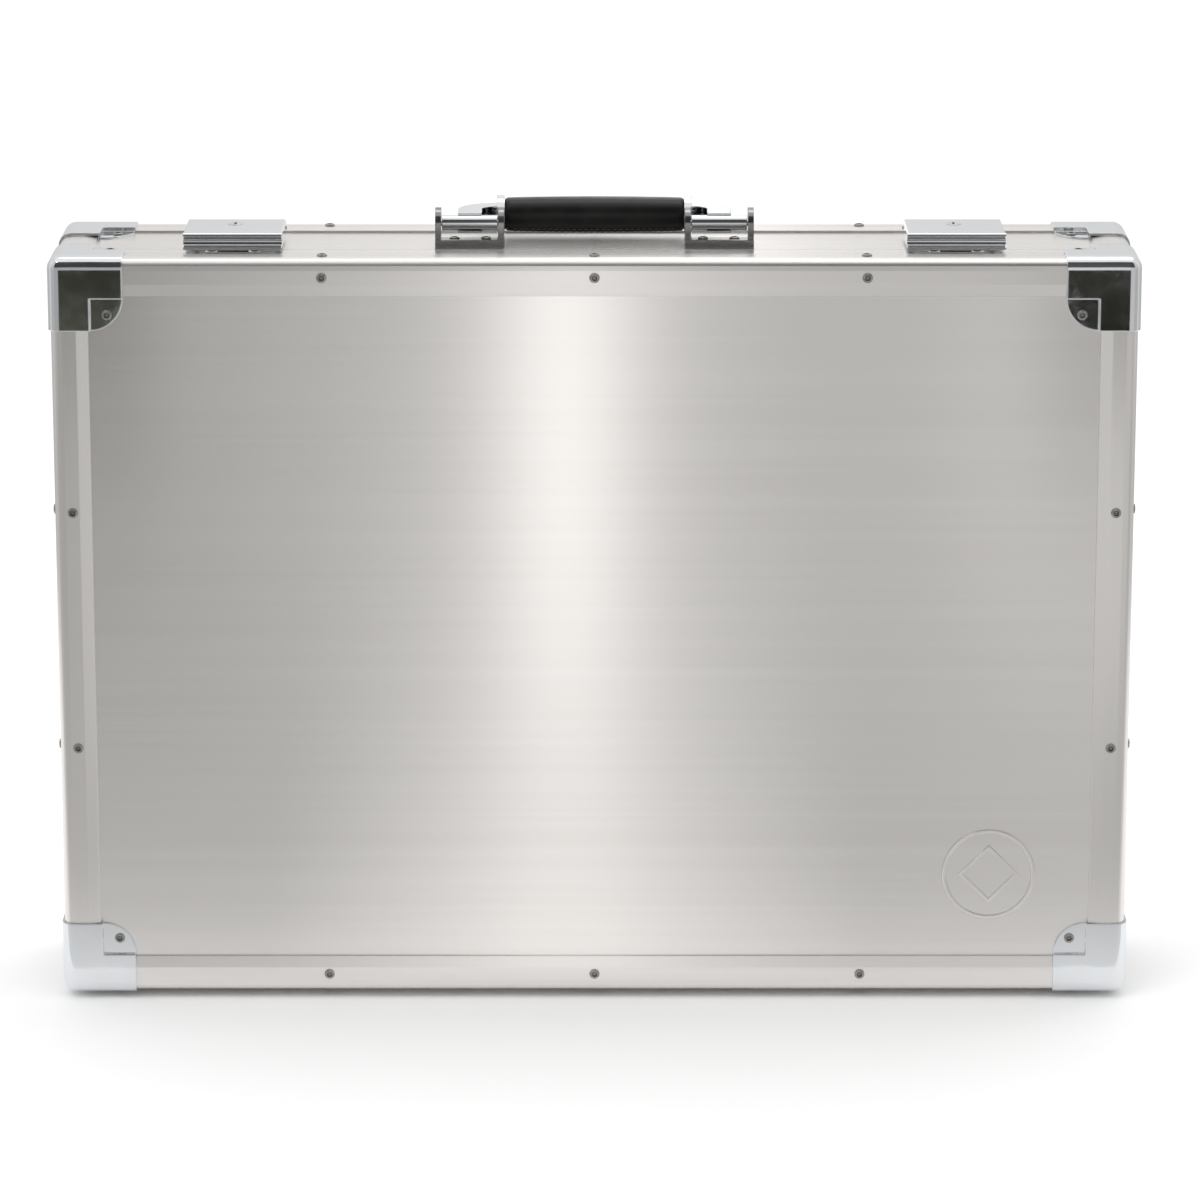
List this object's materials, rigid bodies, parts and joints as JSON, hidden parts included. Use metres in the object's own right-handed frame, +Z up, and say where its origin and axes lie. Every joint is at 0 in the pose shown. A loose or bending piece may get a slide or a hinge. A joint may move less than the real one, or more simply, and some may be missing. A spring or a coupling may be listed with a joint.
{
  "type": "hard carrying case",
  "caption": "Upright hard-shell aluminium carrying case with riveted edge trims, chrome corner pieces, lever latches with locks and a fold-down handle.",
  "frame": {"origin": "middle of the footprint, on the floor under the feet", "axes": "+Z up, +X along the width, the front panel (lid) faces -Y, the handle is on the top"},
  "size_m": [0.55, 0.104, 0.4091],
  "materials": {
    "sheet": "brushed along X, satin",
    "trim": "extruded, satin anodised",
    "chrome": "bright polished",
    "rivet_steel": "satin",
    "pin_steel": "ground",
    "hinge_steel": "nickel plated",
    "lock_brass": "nickel-plated brass",
    "lining": "short-pile fabric on board",
    "grip": "smooth black, semi-gloss",
    "rubber": "matte"
  },
  "bodies": {
    "case": {"base_corner_bottom_left": "chrome", "base_corner_bottom_right": "chrome", "base_corner_posts": "trim", "base_corner_top_left": "chrome", "base_corner_top_right": "chrome", "base_feet": "rubber", "base_lining": "lining", "base_mouth_frame": "trim", "base_panel": "sheet", "base_rivets": "rivet_steel", "base_trim_bottom": "trim", "base_trim_left": "trim", "base_trim_right": "trim", "base_trim_top": "trim", "base_wall_bottom": "sheet", "base_wall_left": "sheet", "base_wall_right": "sheet", "base_wall_top": "sheet", "handle_bracket_left": "chrome", "handle_bracket_right": "chrome", "handle_pins": "pin_steel", "hinge_base_leaf_left": "hinge_steel", "hinge_base_leaf_right": "hinge_steel", "hinge_pins": "pin_steel", "latch_pin_left": "pin_steel", "latch_pin_right": "pin_steel", "latch_plate_left": "chrome", "latch_plate_right": "chrome"},
    "handle": {"handle_bail": "chrome", "handle_ferrules": "chrome", "handle_grip": "grip"},
    "lid": {"hinge_lid_leaf_left": "hinge_steel", "hinge_lid_leaf_right": "hinge_steel", "latch_keeper_left": "chrome", "latch_keeper_right": "chrome", "lid_corner_bottom_left": "chrome", "lid_corner_bottom_right": "chrome", "lid_corner_posts": "trim", "lid_corner_top_left": "chrome", "lid_corner_top_right": "chrome", "lid_feet": "rubber", "lid_lining": "lining", "lid_mouth_frame": "trim", "lid_panel": "sheet", "lid_rivets": "rivet_steel", "lid_trim_bottom": "trim", "lid_trim_left": "trim", "lid_trim_right": "trim", "lid_trim_top": "trim", "lid_wall_bottom": "sheet", "lid_wall_left": "sheet", "lid_wall_right": "sheet", "lid_wall_top": "sheet"},
    "latch_left": {"latch_claw_left": "chrome", "latch_lever_left": "chrome"},
    "latch_right": {"latch_claw_right": "chrome", "latch_lever_right": "chrome"},
    "lock_left": {"lock_cylinder_left": "lock_brass"},
    "lock_right": {"lock_cylinder_right": "lock_brass"}
  },
  "joints": [
    {"name": "lid_hinge", "type": "hinge", "parent": "case", "child": "lid", "pos_m": [0, -0.0145, 0.0038], "axis": [1, 0, 0], "range_deg": [0, 100]},
    {"name": "handle_fold", "type": "hinge", "parent": "case", "child": "handle", "pos_m": [0, -0.002, 0.3993], "axis": [1, 0, 0], "range_deg": [0, 175]},
    {"name": "latch_left_lever", "type": "hinge", "parent": "case", "child": "latch_left", "pos_m": [-0.183, 0.012, 0.3943], "axis": [-1, 0, 0], "range_deg": [0, 90]},
    {"name": "lock_left_turn", "type": "hinge", "parent": "latch_left", "child": "lock_left", "pos_m": [-0.183, 0, 0.3943], "axis": [0, 0, 1], "range_deg": [0, 90]},
    {"name": "latch_right_lever", "type": "hinge", "parent": "case", "child": "latch_right", "pos_m": [0.183, 0.012, 0.3943], "axis": [-1, 0, 0], "range_deg": [0, 90]},
    {"name": "lock_right_turn", "type": "hinge", "parent": "latch_right", "child": "lock_right", "pos_m": [0.183, 0, 0.3943], "axis": [0, 0, 1], "range_deg": [0, 90]}
  ]
}
